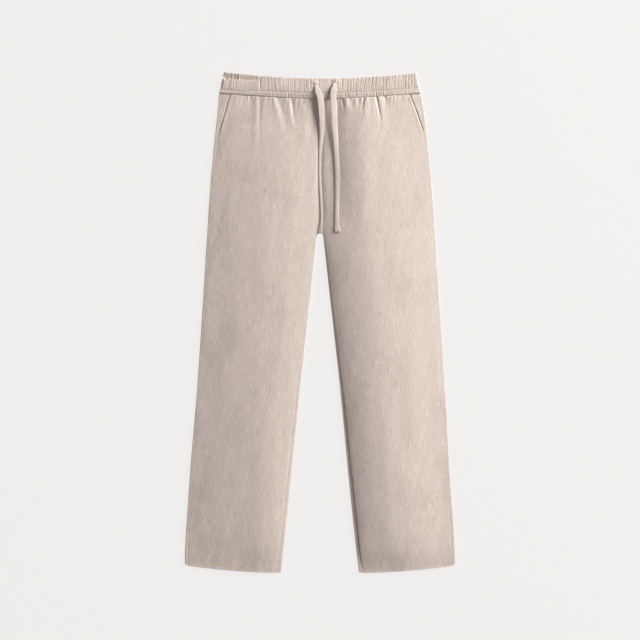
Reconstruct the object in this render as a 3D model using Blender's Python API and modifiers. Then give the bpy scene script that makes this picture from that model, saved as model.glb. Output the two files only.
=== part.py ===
"""Linen drawstring trousers, laid flat with the front up.

+X runs across the waist, +Y from the hems to the waist, and +Z up from the surface they lie on.
Each half has a front that lies on a back. The back is flat underneath, and turns up round the side
edge and the inner leg edge to its seams with the front, so each leg is a flattened tube. A gathered
waistband closes the top, and the two free ends of the drawstring come out of it.
"""

import math
from collections import namedtuple

import bmesh
import bpy
import numpy as np

# Driving dimensions, in metres
CLOTH = 0.0015  # wall of a panel
SEAM_GAP = 0.0003  # between pieces that are sewn together
EDGE_RADIUS = 0.00175  # outer radius of the fold round a leg's edge: two walls and a little air
EDGE_HEIGHT = 2 * EDGE_RADIUS
CROWN_POWER = 2.2  # how squarely a front rises between its edges
BACK_HEM_DROP = 0.0015  # the back's hem shows this far past the front's
CROTCH_Y = 0.186
CROTCH_ARCH_WIDTH = 0.0075  # half the width of the arch where the legs part
CROTCH_ARCH_HEIGHT = 0.016
WAIST_CURVE = 1.6  # how late the waist seam rises from its dip at the centre
HEM_CURVE = 1.8  # the same for a hem, which rises to the side seam
POCKET_TOP_X = 0.186  # where the pocket mouth leaves the waist seam
POCKET_LENGTH_SHARE = 0.93  # the facing stops short of the mouth's lower end, where it is a point

BAND_WALL = 0.0025  # two layers of linen over elastic
BAND_RADIUS = 0.0029  # outer radius of the fold at the waistband's sides
BAND_HALF_WIDTH = (0.2095, 0.2004)  # across half the waistband, at the waist seam and at the top
BAND_SIDE_LEAN = 0.3  # how fast the waistband narrows just above the waist seam
BAND_CHANNEL = 0.011  # from the waist seam up to the row of stitching
BAND_FRONT_TOP = (0.5045, 0.5060, 0.5175)  # left end, centre, right end
BAND_BACK_TOP = (0.5200, 0.5065, 0.5165)  # the inside of the back shows above the front on the left
BAND_GATHERS = 42
GATHER_HEIGHT = 0.00045
# The waistband's rows, from the waist seam up. narrowing goes from the waist seam's half width at 0 to
# the top's at 1, and gather is the row's share of the gathers' height.
BandRow = namedtuple("BandRow", "place narrowing gather")
BAND_ROWS = (
    BandRow("waist seam", 0.0, 0.4),
    BandRow("stitching", 0.3, 0.8),
    BandRow("top", 1.0, 1.0),
)

TAPE_WIDTH = 0.013
TAPE_THICKNESS = 0.0018
TAPE_CHAMFER = 0.0004

# Preview colours, one shade for each kind of piece so that neighbours can be told apart
FRONT_COLOUR = (0.60, 0.52, 0.44)
BACK_COLOUR = (0.55, 0.47, 0.40)
FACING_COLOUR = (0.52, 0.45, 0.38)
BAND_COLOUR = (0.62, 0.54, 0.46)
TAPE_COLOUR = (0.78, 0.70, 0.62)
CLOTH_ROUGHNESS = 0.9
TAPE_ROUGHNESS = 0.85

# Grid sizes
FRONT_COLUMNS = 15
BACK_COLUMNS = 7
ARC_STEPS = 4
ARCH_STEPS = 3
ROWS_ABOVE_CROTCH = 9
ROWS_BELOW_CROTCH = 8
FACING_COLUMNS = 3
BAND_BACK_COLUMNS = 16

# One half, from the waist seam to the hem. side_x and side_y are on the outer edge, inner_x and
# inner_y on the centre seam and then on the inner leg edge. A roll is how far past the edge's fold
# the back reaches over the top, and crown is how far the front rises above its edges.
Row = namedtuple("Row", "place side_x side_y inner_x inner_y side_roll inner_roll crown")
ABOVE_CROTCH = (
    Row("waist seam", 0.2095, 0.4765, 0.0, 0.4640, 0.0030, 0.0, 0.0024),
    Row("pocket end", 0.2193, 0.3950, 0.0, 0.3900, 0.0058, 0.0, 0.0032),
    Row("hip", 0.2270, 0.3150, 0.0, 0.3150, 0.0030, 0.0, 0.0035),
    Row("seat", 0.2325, 0.2450, 0.0, 0.2450, 0.0022, 0.0, 0.0035),
    Row("crotch", 0.2365, 0.1800, 0.0, CROTCH_Y, 0.0020, 0.0010, 0.0034),
)
BELOW_CROTCH = (
    Row("arch foot", 0.2380, 0.1600, 0.0075, 0.1700, 0.0020, 0.0012, 0.0034),
    Row("thigh", 0.2450, 0.0470, 0.0210, 0.0470, 0.0020, 0.0020, 0.0035),
    Row("knee", 0.2575, -0.1400, 0.0415, -0.1400, 0.0020, 0.0040, 0.0035),
    Row("calf", 0.2710, -0.3270, 0.0600, -0.3270, 0.0040, 0.0065, 0.0034),
    Row("ankle", 0.2795, -0.4520, 0.0730, -0.4520, 0.0080, 0.0075, 0.0032),
    Row("hem", 0.2810, -0.4990, 0.0810, -0.5185, 0.0095, 0.0075, 0.0028),
)

# The largest folds of the fronts: soft ridges that run down from the waist seam.
Fold = namedtuple("Fold", "side top_x top_y foot_x foot_y half_width height")
FOLDS = (
    Fold(-1, -0.124, 0.470, -0.125, 0.340, 0.014, 0.0010),
    Fold(-1, -0.094, 0.468, -0.070, 0.385, 0.014, 0.0012),
    Fold(-1, -0.060, 0.466, -0.046, 0.400, 0.013, 0.0012),
    Fold(1, 0.062, 0.466, 0.070, 0.410, 0.013, 0.0010),
    Fold(1, 0.100, 0.468, 0.080, 0.400, 0.014, 0.0011),
    Fold(1, 0.128, 0.470, 0.136, 0.360, 0.014, 0.0012),
)
# How quickly a fold dies away towards its foot
FOLD_FADE = 1.5

# The drawstring's free ends. lean turns the tape about its path, in degrees: 0 lies flat, and 90
# stands on its right edge.
TapePoint = namedtuple("TapePoint", "x y z lean")
LEFT_TAPE = (
    TapePoint(-0.0075, 0.4965, 0.0075, 0),
    TapePoint(-0.0050, 0.4880, 0.0088, 0),
    TapePoint(-0.0010, 0.4770, 0.0100, 0),
    TapePoint(0.0025, 0.4665, 0.0094, 2),
    TapePoint(0.0045, 0.4500, 0.0076, 10),
    TapePoint(0.0060, 0.4320, 0.0079, 25),
    TapePoint(0.0064, 0.4130, 0.0091, 38),
    TapePoint(0.0058, 0.3940, 0.0099, 48),
    TapePoint(0.0046, 0.3750, 0.0102, 54),
    TapePoint(0.0022, 0.3530, 0.0103, 58),
    TapePoint(0.0004, 0.3310, 0.0104, 62),
    TapePoint(0.0000, 0.3100, 0.0107, 70),
    TapePoint(0.0006, 0.2880, 0.0110, 80),
    TapePoint(0.0018, 0.2650, 0.0111, 90),
    TapePoint(0.0032, 0.2400, 0.0110, 99),
    TapePoint(0.0036, 0.2180, 0.0108, 110),
    TapePoint(0.0024, 0.2010, 0.0101, 124),
    TapePoint(0.0010, 0.1890, 0.0093, 136),
)
RIGHT_TAPE = (
    TapePoint(0.0345, 0.5005, 0.0075, 0),
    TapePoint(0.0328, 0.4920, 0.0089, 0),
    TapePoint(0.0306, 0.4820, 0.0103, 0),
    TapePoint(0.0295, 0.4710, 0.0101, 2),
    TapePoint(0.0302, 0.4560, 0.0090, 8),
    TapePoint(0.0312, 0.4380, 0.0086, 18),
    TapePoint(0.0318, 0.4180, 0.0094, 30),
    TapePoint(0.0328, 0.3980, 0.0106, 40),
    TapePoint(0.0343, 0.3780, 0.0112, 46),
    TapePoint(0.0358, 0.3560, 0.0115, 50),
    TapePoint(0.0372, 0.3320, 0.0117, 52),
    TapePoint(0.0380, 0.3060, 0.0117, 52),
    TapePoint(0.0376, 0.2800, 0.0117, 53),
    TapePoint(0.0365, 0.2540, 0.0118, 56),
    TapePoint(0.0355, 0.2300, 0.0117, 54),
    TapePoint(0.0352, 0.2090, 0.0111, 44),
    TapePoint(0.0360, 0.1900, 0.0103, 34),
)
TAPE_STEPS = 2  # pieces between two points of the route


def clear_scene():
    for obj in list(bpy.data.objects):
        bpy.data.objects.remove(obj, do_unlink=True)


def make_collection(name):
    collection = bpy.data.collections.new(name)
    bpy.context.scene.collection.children.link(collection)
    return collection


def make_material(name, colour, roughness):
    material = bpy.data.materials.new(name)
    material.use_nodes = True
    shader = material.node_tree.nodes["Principled BSDF"]
    shader.inputs["Base Color"].default_value = (*colour, 1.0)
    shader.inputs["Roughness"].default_value = roughness
    shader.inputs["Metallic"].default_value = 0.0
    return material


def smooth_through(values, places):
    """A cubic through the values at whole-number places, with each slope that of its neighbours."""
    values = np.asarray(values, float)
    slopes = np.gradient(values, axis=0)
    start = np.clip(np.floor(places).astype(int), 0, len(values) - 2)
    t = (np.asarray(places, float) - start).reshape(-1, *[1] * (values.ndim - 1))
    a, b, da, db = values[start], values[start + 1], slopes[start], slopes[start + 1]
    return (
        (2 * t**3 - 3 * t**2 + 1) * a
        + (t**3 - 2 * t**2 + t) * da
        + (3 * t**2 - 2 * t**3) * b
        + (t**3 - t**2) * db
    )


def half_rows():
    """One half's rows, waist to hem: an array with Row's numbers in its columns, and the crotch's index."""
    above = np.array([row[1:] for row in ABOVE_CROTCH])
    below = np.array([row[1:] for row in BELOW_CROTCH])
    places = np.linspace(0, len(above) - 1, ROWS_ABOVE_CROTCH + 1)
    rows_above = smooth_through(above, places)
    share = np.arange(1, ARCH_STEPS) / ARCH_STEPS
    arch = above[-1] + share[:, None] * (below[0] - above[-1])
    angle = share * math.pi / 2
    arch[:, 2] = CROTCH_ARCH_WIDTH * np.sin(angle)
    arch[:, 3] = CROTCH_Y - CROTCH_ARCH_HEIGHT * (1 - np.cos(angle))
    places = np.linspace(0, len(below) - 1, ROWS_BELOW_CROTCH + 1)
    rows_below = smooth_through(below, places)
    return np.concatenate([rows_above, arch, rows_below]), ROWS_ABOVE_CROTCH


def edge_normals(x, y, first=None):
    """Unit vectors in plan that point out of the cloth, across an edge that runs down through the points."""
    run = np.stack([np.gradient(x), np.gradient(y)], axis=1)
    run /= np.linalg.norm(run, axis=1)[:, None]
    normal = np.stack([-run[:, 1], run[:, 0]], axis=1)
    if first is not None:
        normal[0] = first
    return normal


class Half:
    """The rows of one half at +X, and where its edges, folds and seams lie in plan."""

    def __init__(self):
        rows, self.crotch = half_rows()
        self.side = rows[:, 0:2]
        self.inner = rows[:, 2:4]
        self.side_roll, self.inner_roll, self.crown = rows[:, 4], rows[:, 5], rows[:, 6]
        self.side_normal = edge_normals(*self.side.T)
        self.inner_normal = np.tile((-1.0, 0.0), (len(rows), 1))
        below = self.inner[self.crotch :]
        self.inner_normal[self.crotch :] = -edge_normals(*below.T, first=(0.0, 1.0))
        self.count = len(rows)
        self.pocket_end = round(ROWS_ABOVE_CROTCH / (len(ABOVE_CROTCH) - 1))

    def side_at(self, depth):
        """Points that lie depth inside the side edge, one for each row."""
        return self.side - self.side_normal * np.broadcast_to(depth, self.count)[:, None]

    def inner_at(self, depth):
        """The same inside the inner leg edge, and beside the centre seam above the crotch."""
        at = self.inner - self.inner_normal * np.broadcast_to(depth, self.count)[:, None]
        at[: self.crotch] = self.inner[: self.crotch]
        at[:, 0] = np.maximum(at[:, 0], SEAM_GAP / 2)
        return at

    def pocket_mouth(self):
        """The slanted line from the waist seam to the side seam, one point for each row it passes."""
        foot = self.side_at(EDGE_RADIUS + self.side_roll + SEAM_GAP / 2)[self.pocket_end]
        top = np.array([POCKET_TOP_X, waist_seam_y(POCKET_TOP_X)])
        share = np.linspace(0, 1, self.pocket_end + 1)[:, None]
        return top + share * (foot - top)


def height_at(across, crown):
    """A front's outer height: highest midway between its edges, where across is 0 and 1."""
    return EDGE_HEIGHT + crown * (1 - np.abs(2 * across - 1) ** CROWN_POWER)


def fold_height(x, y, side):
    """The folds' ridges, summed: each fades to its half width across and towards both of its ends."""
    total = np.zeros_like(x)
    for fold in FOLDS:
        if fold.side != side:
            continue
        top = np.array([abs(fold.top_x), fold.top_y])
        run = np.array([abs(fold.foot_x), fold.foot_y]) - top
        length = np.linalg.norm(run)
        run /= length
        along = ((x - top[0]) * run[0] + (y - top[1]) * run[1]) / length
        across = (x - top[0]) * run[1] - (y - top[1]) * run[0]
        ridge = np.exp(-((across / fold.half_width) ** 2))
        fade = np.clip(1 - along, 0, 1) ** FOLD_FADE * np.clip(along + 1, 0, 1)
        total += fold.height * ridge * np.where(along > 1, 0, fade)
    return total


def waist_seam_y(x):
    """The waist seam dips from the sides to the centre."""
    top = ABOVE_CROTCH[0]
    share = np.clip(np.abs(x) / top.side_x, 0, 1)
    return top.inner_y + (top.side_y - top.inner_y) * share**WAIST_CURVE


def hem_y(x):
    """A hem rises from the inseam to the side seam."""
    hem = BELOW_CROTCH[-1]
    share = np.clip((x - hem.inner_x) / (hem.side_x - hem.inner_x), 0, 1)
    return hem.inner_y + (hem.side_y - hem.inner_y) * share**HEM_CURVE


def grid_object(name, points, used, side, collection, material, wall=CLOTH):
    """A cloth panel: an open surface over the used cells of a grid of points, with its wall inside it."""
    mesh = bpy.data.meshes.new(name)
    build = bmesh.new()
    corners = {}

    def corner(row, column):
        if (row, column) not in corners:
            x, y, z = points[row, column]
            corners[row, column] = build.verts.new((side * x, y, z))
        return corners[row, column]

    for row, column in zip(*np.nonzero(used)):
        loop = [
            corner(row, column),
            corner(row + 1, column),
            corner(row + 1, column + 1),
            corner(row, column + 1),
        ]
        build.faces.new(loop if side > 0 else loop[::-1])
    build.to_mesh(mesh)
    build.free()
    mesh.shade_smooth()
    obj = bpy.data.objects.new(name, mesh)
    collection.objects.link(obj)
    mesh.materials.append(material)
    add_wall(obj, wall)
    return obj


def add_wall(obj, thickness):
    """Thicken a sheet into a closed wall, kept under the sheet's own face."""
    solidify = obj.modifiers.new("Wall", "SOLIDIFY")
    solidify.thickness = thickness
    solidify.offset = -1
    solidify.use_even_offset = True
    solidify.use_quality_normals = True


def between(inner, outer, columns):
    """A grid in plan, of straight rows from the inner points to the outer ones."""
    share = np.linspace(0, 1, columns + 1)[None, :, None]
    return inner[:, None] + share * (outer - inner)[:, None]


def make_front(half, side, collection, material):
    """The front: its rows run from the centre seam or inseam to the pocket mouth or side seam."""
    seam = SEAM_GAP / 2
    inner = half.inner_at(EDGE_RADIUS + half.inner_roll + seam)
    outer = half.side_at(EDGE_RADIUS + half.side_roll + seam)
    outer[: half.pocket_end + 1] = half.pocket_mouth() - (seam, 0)
    plan = between(inner, outer, FRONT_COLUMNS)
    x, y = plan[..., 0], plan[..., 1]
    y[0], y[-1] = waist_seam_y(x[0]), hem_y(x[-1])
    across = (x - half.inner[:, :1]) / (half.side[:, :1] - half.inner[:, :1])
    z = height_at(across, half.crown[:, None]) + fold_height(x, y, side)
    points = np.stack([x, y, z], axis=-1)
    used = np.ones((half.count - 1, FRONT_COLUMNS), bool)
    name = "front_right" if side > 0 else "front_left"
    return grid_object(name, points, used, side, collection, material)


def make_facing(half, side, collection, material):
    """The pocket facing: the triangle between the pocket mouth and the side seam."""
    seam = SEAM_GAP / 2
    mouth = half.pocket_mouth() + (seam, 0)
    outer = half.side_at(EDGE_RADIUS + half.side_roll + seam)[: half.pocket_end + 1]
    rows = np.linspace(0, half.pocket_end * POCKET_LENGTH_SHARE, half.pocket_end + 2)
    plan = between(smooth_through(mouth, rows), smooth_through(outer, rows), FACING_COLUMNS)
    x, y = plan[..., 0], plan[..., 1]
    y[0] = waist_seam_y(x[0])
    side_x = smooth_through(half.side[: half.pocket_end + 1, 0], rows)[:, None]
    z = height_at(x / side_x, smooth_through(half.crown[: half.pocket_end + 1], rows)[:, None])
    points = np.stack([x, y, z], axis=-1)
    used = np.ones((len(rows) - 1, FACING_COLUMNS), bool)
    name = "pocket_facing_right" if side > 0 else "pocket_facing_left"
    return grid_object(name, points, used, side, collection, material)


def wrap(edge, normal, roll):
    """The back's turned-up edge, from the flat to the seam: a half circle, then a strip on the top."""
    angles = np.linspace(0, math.pi, ARC_STEPS + 1)[1:]
    out = np.append(np.sin(angles) - 1, -1)[None, :, None] * EDGE_RADIUS
    out = np.repeat(out, len(edge), axis=0)
    out[:, -1, 0] -= roll - SEAM_GAP / 2
    plan = edge[:, None] + normal[:, None] * out
    height = np.append(1 - np.cos(angles), 2) * EDGE_RADIUS
    return plan, np.broadcast_to(height, plan.shape[:2])


def make_back(half, side, collection, material):
    """The back: flat underneath, with its two edges turned up round the folds. Above the crotch the
    inner edge stays flat and ends at the centre-back seam."""
    flat = between(half.inner_at(EDGE_RADIUS), half.side_at(EDGE_RADIUS), BACK_COLUMNS)
    inner_plan, inner_z = wrap(half.inner, half.inner_normal, half.inner_roll)
    inner_plan[..., 0] = np.maximum(inner_plan[..., 0], SEAM_GAP / 2)
    side_plan, side_z = wrap(half.side, half.side_normal, half.side_roll)
    plan = np.concatenate([inner_plan[:, ::-1], flat, side_plan], axis=1)
    z = np.concatenate([inner_z[:, ::-1], np.zeros(flat.shape[:2]), side_z], axis=1)
    x, y = plan[..., 0], plan[..., 1]
    y[0], y[-1] = waist_seam_y(x[0]), hem_y(x[-1]) - BACK_HEM_DROP
    # Rows above the crotch have no inner fold: their first columns are left out.
    used = np.ones((half.count - 1, z.shape[1] - 1), bool)
    used[: half.crotch, : ARC_STEPS + 1] = False
    points = np.stack([x, y, z], axis=-1)
    name = "back_right" if side > 0 else "back_left"
    # The rows run under the cloth, so the loops turn the other way from a front's.
    return grid_object(name, points[:, ::-1], used[:, ::-1], side, collection, material)


def three_point(values, share):
    """A parabola through the values at -1, 0 and 1."""
    left, centre, right = values
    return centre + (right - left) / 2 * share + ((right + left) / 2 - centre) * share**2


def make_waistband(collection, material):
    """The waistband: a flattened ring, gathered in front, whose rows run from the waist seam up."""
    front = np.linspace(-1, 1, 2 * BAND_GATHERS + 1)
    back = np.linspace(1, -1, BAND_BACK_COLUMNS + 1)
    turn = np.linspace(0, math.pi, ARC_STEPS + 1)[1:-1]
    share = np.concatenate([front, np.ones_like(turn), back, -np.ones_like(turn)])
    out = np.concatenate([0 * front, np.sin(turn), 0 * back, -np.sin(turn)])
    lift = np.concatenate([0 * front + 1, np.cos(turn), 0 * back - 1, -np.cos(turn)])
    ripple = np.zeros_like(share)
    ripple[1 : 2 * BAND_GATHERS : 2] = 1
    is_front = (lift + 1) / 2
    at_seam, at_top = BAND_HALF_WIDTH
    rows = []
    for row in BAND_ROWS:
        half_width = at_seam + (at_top - at_seam) * row.narrowing
        x = share * (half_width - BAND_RADIUS) + out * BAND_RADIUS
        # The wall leans in at the sides, so its inner rim reaches lower than its outer one.
        seam = waist_seam_y(x) + SEAM_GAP + np.abs(out) * BAND_WALL * BAND_SIDE_LEAN
        top = is_front * three_point(BAND_FRONT_TOP, share)
        top += (1 - is_front) * three_point(BAND_BACK_TOP, share)
        y = {"waist seam": seam, "stitching": seam + BAND_CHANNEL, "top": top}[row.place]
        z = BAND_RADIUS * (1 + lift) + ripple * GATHER_HEIGHT * row.gather
        rows.append(np.stack([x, y, z], axis=-1))
    mesh = bpy.data.meshes.new("waistband")
    build = bmesh.new()
    verts = [[build.verts.new(point) for point in points] for points in rows]
    for lower, upper in zip(verts, verts[1:]):
        for i in range(len(lower)):
            j = (i + 1) % len(lower)
            build.faces.new((lower[i], lower[j], upper[j], upper[i]))
    build.to_mesh(mesh)
    build.free()
    mesh.shade_smooth()
    obj = bpy.data.objects.new("waistband", mesh)
    collection.objects.link(obj)
    mesh.materials.append(material)
    add_wall(obj, BAND_WALL)
    return obj


def tape_section(guides):
    """The tape's cross-section, a flat octagon, as the bevel object of both tapes."""
    curve = bpy.data.curves.new("tape_section", "CURVE")
    curve.dimensions = "2D"
    curve.fill_mode = "NONE"
    wide, thick, cut = TAPE_WIDTH / 2, TAPE_THICKNESS / 2, TAPE_CHAMFER
    quarter = ((wide, thick - cut), (wide - cut, thick))
    corners = [*quarter, *[(-x, y) for x, y in quarter[::-1]]]
    corners += [(-x, -y) for x, y in corners]
    corners.reverse()
    spline = curve.splines.new("POLY")
    spline.points.add(len(corners) - 1)
    for point, (x, y) in zip(spline.points, corners):
        point.co = (x, y, 0, 1)
    spline.use_cyclic_u = True
    obj = bpy.data.objects.new("tape_section", curve)
    obj.hide_render = True
    obj.display_type = "WIRE"
    guides.objects.link(obj)
    return obj


def make_tape(name, route, section, collection, material):
    """A free end of the drawstring: the flat section carried along its route, turned by its lean."""
    places = np.linspace(0, len(route) - 1, (len(route) - 1) * TAPE_STEPS + 1)
    samples = smooth_through(np.array(route), places)
    curve = bpy.data.curves.new(name, "CURVE")
    curve.dimensions = "3D"
    curve.twist_mode = "Z_UP"
    curve.bevel_mode = "OBJECT"
    curve.bevel_object = section
    curve.use_fill_caps = True
    spline = curve.splines.new("POLY")
    spline.points.add(len(samples) - 1)
    for point, (x, y, z, lean) in zip(spline.points, samples):
        point.co = (x, y, z, 1)
        point.tilt = -math.radians(lean)
    curve.materials.append(material)
    obj = bpy.data.objects.new(name, curve)
    collection.objects.link(obj)
    return obj


def main():
    clear_scene()
    trousers = make_collection("linen_drawstring_trousers")
    guides = make_collection("guides")
    guides.hide_render = True
    half = Half()
    for side, word in ((-1, "left"), (1, "right")):
        front = make_material(f"front_{word}_linen", FRONT_COLOUR, CLOTH_ROUGHNESS)
        make_front(half, side, trousers, front)
        back = make_material(f"back_{word}_linen", BACK_COLOUR, CLOTH_ROUGHNESS)
        make_back(half, side, trousers, back)
        facing = make_material(f"facing_{word}_linen", FACING_COLOUR, CLOTH_ROUGHNESS)
        make_facing(half, side, trousers, facing)
    make_waistband(trousers, make_material("waistband_linen", BAND_COLOUR, CLOTH_ROUGHNESS))
    section = tape_section(guides)
    tape_linen = make_material("tape_linen", TAPE_COLOUR, TAPE_ROUGHNESS)
    make_tape("drawstring_left", LEFT_TAPE, section, trousers, tape_linen)
    make_tape("drawstring_right", RIGHT_TAPE, section, trousers, tape_linen)


main()
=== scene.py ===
"""Linen drawstring trousers, laid flat with the front up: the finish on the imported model.

+X runs across the waist, +Y from the hems to the waist, +Z up from the surface. Every cloth piece is
a surface worked out on a grid of rows, from the waist to the hem, and columns, from the centre or the
inner leg edge to the side.
"""

import math
from collections import namedtuple

import bmesh
import bpy
import numpy as np
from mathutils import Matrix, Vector


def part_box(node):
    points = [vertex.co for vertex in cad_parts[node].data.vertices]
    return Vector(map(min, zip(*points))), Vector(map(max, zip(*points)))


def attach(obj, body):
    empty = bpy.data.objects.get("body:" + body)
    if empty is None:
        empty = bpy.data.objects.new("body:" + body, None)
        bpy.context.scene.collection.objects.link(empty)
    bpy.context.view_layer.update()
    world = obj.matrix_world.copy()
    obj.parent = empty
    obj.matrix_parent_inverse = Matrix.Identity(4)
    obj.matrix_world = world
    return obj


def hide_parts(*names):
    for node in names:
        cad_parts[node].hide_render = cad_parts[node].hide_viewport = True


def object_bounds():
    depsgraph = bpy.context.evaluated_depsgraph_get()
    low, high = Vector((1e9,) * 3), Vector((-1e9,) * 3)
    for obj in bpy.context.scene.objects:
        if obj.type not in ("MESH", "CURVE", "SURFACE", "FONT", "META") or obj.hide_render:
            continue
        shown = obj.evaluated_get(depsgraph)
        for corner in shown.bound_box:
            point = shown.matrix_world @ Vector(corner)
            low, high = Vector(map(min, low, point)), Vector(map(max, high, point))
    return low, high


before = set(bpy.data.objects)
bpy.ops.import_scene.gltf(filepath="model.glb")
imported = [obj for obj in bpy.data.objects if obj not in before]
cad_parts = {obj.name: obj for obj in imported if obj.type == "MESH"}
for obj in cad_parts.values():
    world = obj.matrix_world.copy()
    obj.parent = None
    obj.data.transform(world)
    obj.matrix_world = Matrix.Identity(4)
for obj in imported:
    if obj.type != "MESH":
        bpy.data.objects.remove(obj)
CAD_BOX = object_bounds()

bl_info = {
    "name": "Linen drawstring trousers",
    "version": (1, 0, 0),
    "blender": (4, 5, 0),
    "location": "3D View > Sidebar > Trousers",
    "description": "Builds flat-laid linen trousers, piece by piece, on their packed frame",
    "category": "Add Mesh",
}

# ---------------------------------------------------------------------------------------------
# Sizes that the frame settles, in metres

EDGE_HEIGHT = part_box("back_right")[1].z  # the fold round a leg's edge
EDGE_RADIUS = EDGE_HEIGHT / 2
BACK_WALL = 0.0015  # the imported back's wall, which the fronts stay above
HEM_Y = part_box("back_right")[0].y
SEAM_GAP = 0.0001
CROTCH_Y = 0.186
CROTCH_ARCH_WIDTH = 0.0075
CROTCH_ARCH_HEIGHT = 0.016
WAIST_CURVE = 1.6
HEM_CURVE = 1.8
POCKET_TOP_X = 0.186
BAND_RADIUS = 0.0029
PRESSED = 0.42
BAND_PRESSED = 0.62
BAND_RISE = 0.0030  # how far the waistband's front stands up over the middle
BAND_RISE_AT_SEAM = 0.40  # the share of that at the waist seam
CROWN_POWER = 1.7
CROWN_PLACE = 0.40  # where the right half's crown is highest, from the inner edge to the side
LEFT_CROWN_PLACES = (0.44, 0.24)  # the left half's, at the thigh and at the ankle
FULLNESS = {-1: 0.74, 1: 1.12}  # the left and right halves' crowns against the rows'
HEM_CORNER = 0.007
BAND_HALF_WIDTHS = (0.2095, 0.2065, 0.2004)  # at the waist seam, the stitching and the top
BAND_CHANNEL = 0.011
BAND_WALL = 0.0024
BAND_HEIGHT = 0.042
BAND_FRONT_TOP = (0.5045, 0.5060, 0.5175)
BAND_BACK_TOP = (0.5200, 0.5065, 0.5165)

# One half, from the waist seam to the hem. side_x and side_y are on the outer edge, inner_x and
# inner_y on the centre seam and then on the inner leg edge. A roll is how far past the edge's fold
# the back reaches over the top, and crown is how far the front rises above its edges.
Row = namedtuple("Row", "place side_x side_y inner_x inner_y side_roll inner_roll crown")
ABOVE_CROTCH = (
    Row("waist seam", 0.2095, 0.4765, 0.0, 0.4640, 0.0030, 0.0, 0.0034),
    Row("pocket end", 0.2193, 0.3950, 0.0, 0.3900, 0.0058, 0.0, 0.0062),
    Row("hip", 0.2270, 0.3150, 0.0, 0.3150, 0.0030, 0.0, 0.0076),
    Row("seat", 0.2325, 0.2450, 0.0, 0.2450, 0.0022, 0.0, 0.0082),
    Row("crotch", 0.2365, 0.1800, 0.0, CROTCH_Y, 0.0020, 0.0010, 0.0086),
)
BELOW_CROTCH = (
    Row("arch foot", 0.2380, 0.1600, 0.0075, 0.1700, 0.0020, 0.0012, 0.0088),
    Row("thigh", 0.2450, 0.0470, 0.0210, 0.0470, 0.0020, 0.0020, 0.0094),
    Row("knee", 0.2575, -0.1400, 0.0415, -0.1400, 0.0020, 0.0040, 0.0098),
    Row("calf", 0.2710, -0.3270, 0.0600, -0.3270, 0.0034, 0.0060, 0.0096),
    Row("ankle", 0.2795, -0.4520, 0.0730, -0.4520, 0.0048, 0.0062, 0.0076),
    Row("hem", 0.2810, -0.5030, 0.0810, -0.5185, 0.0054, 0.0062, 0.0030),
)

# Creases of the fronts, from head to foot. A positive height is a ridge and a negative one a trough.
Crease = namedtuple("Crease", "head_x head_y foot_x foot_y half_width height")
CREASES = (
    Crease(-0.1330, 0.468, -0.1350, 0.340, 0.0070, 0.0007),
    Crease(-0.1262, 0.468, -0.1275, 0.345, 0.0034, -0.0008),
    Crease(-0.1432, 0.474, -0.1440, 0.448, 0.0030, -0.0009),
    Crease(-0.0970, 0.468, -0.0740, 0.385, 0.0065, 0.0009),
    Crease(-0.0885, 0.466, -0.0670, 0.390, 0.0050, -0.0008),
    Crease(-0.0655, 0.467, -0.0580, 0.395, 0.0055, 0.0007),
    Crease(-0.0598, 0.466, -0.0510, 0.400, 0.0026, -0.0012),
    Crease(-0.0420, 0.466, -0.0320, 0.410, 0.0070, 0.0007),
    Crease(-0.1720, 0.474, -0.1700, 0.430, 0.0060, 0.0005),
    Crease(-0.2117, 0.346, -0.1920, 0.314, 0.0050, -0.0003),
    Crease(0.0460, 0.466, 0.0490, 0.443, 0.0017, -0.0017),
    Crease(0.0530, 0.466, 0.0575, 0.425, 0.0045, 0.0010),
    Crease(0.0630, 0.464, 0.0705, 0.436, 0.0040, -0.0009),
    Crease(0.0797, 0.465, 0.0805, 0.440, 0.0030, -0.0009),
    Crease(0.0910, 0.468, 0.0835, 0.430, 0.0014, -0.0015),
    Crease(0.0975, 0.467, 0.0895, 0.405, 0.0060, 0.0011),
    Crease(0.1170, 0.470, 0.1265, 0.405, 0.0014, -0.0018),
    Crease(0.1115, 0.468, 0.1155, 0.390, 0.0060, 0.0009),
    Crease(0.1230, 0.468, 0.1345, 0.380, 0.0060, 0.0008),
    Crease(0.1350, 0.470, 0.1375, 0.446, 0.0028, -0.0010),
    Crease(0.1555, 0.472, 0.1575, 0.440, 0.0060, 0.0004),
    Crease(-0.0156, 0.470, -0.0161, 0.350, 0.0080, -0.0016),
    Crease(-0.0136, 0.470, -0.0131, 0.425, 0.0030, -0.0014),
    Crease(0.0169, 0.470, 0.0179, 0.330, 0.0060, -0.0012),
    Crease(0.0309, 0.440, 0.0349, 0.150, 0.0130, -0.0026),
    Crease(0.0875, 0.420, 0.0905, 0.020, 0.0260, 0.0018),
)

# The slits that the tapes come out of, as troughs from head to foot
SLITS = (
    Crease(-0.0135, 0.4945, -0.0080, 0.460, 0.0020, -0.0026),
    Crease(0.0265, 0.5030, 0.0165, 0.470, 0.0018, -0.0022),
)

# The sets of narrow puckers over the waistband's elastic. pitch is a share of the gathers' pitch, and
# narrow the power that sharpens a trough. Height on the band runs from start by run. A set weighs
# weight, and on the right more_right besides.
Puckers = namedtuple("Puckers", "pitch seed narrow start run weight more_right leans")
ELASTIC_PUCKERS = (
    Puckers(0.86, 44, 12.0, 0.0, 1.0, 0.95, 0.55, False),
    Puckers(0.55, 46, 6.0, 0.1, 1.0, 0.40, -0.20, True),
    Puckers(0.41, 45, 4.0, 1.0, -0.8, 0.22, -0.18, True),
    Puckers(0.62, 47, 9.0, 0.0, 1.0, 0.0, 0.80, False),
)

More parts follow.
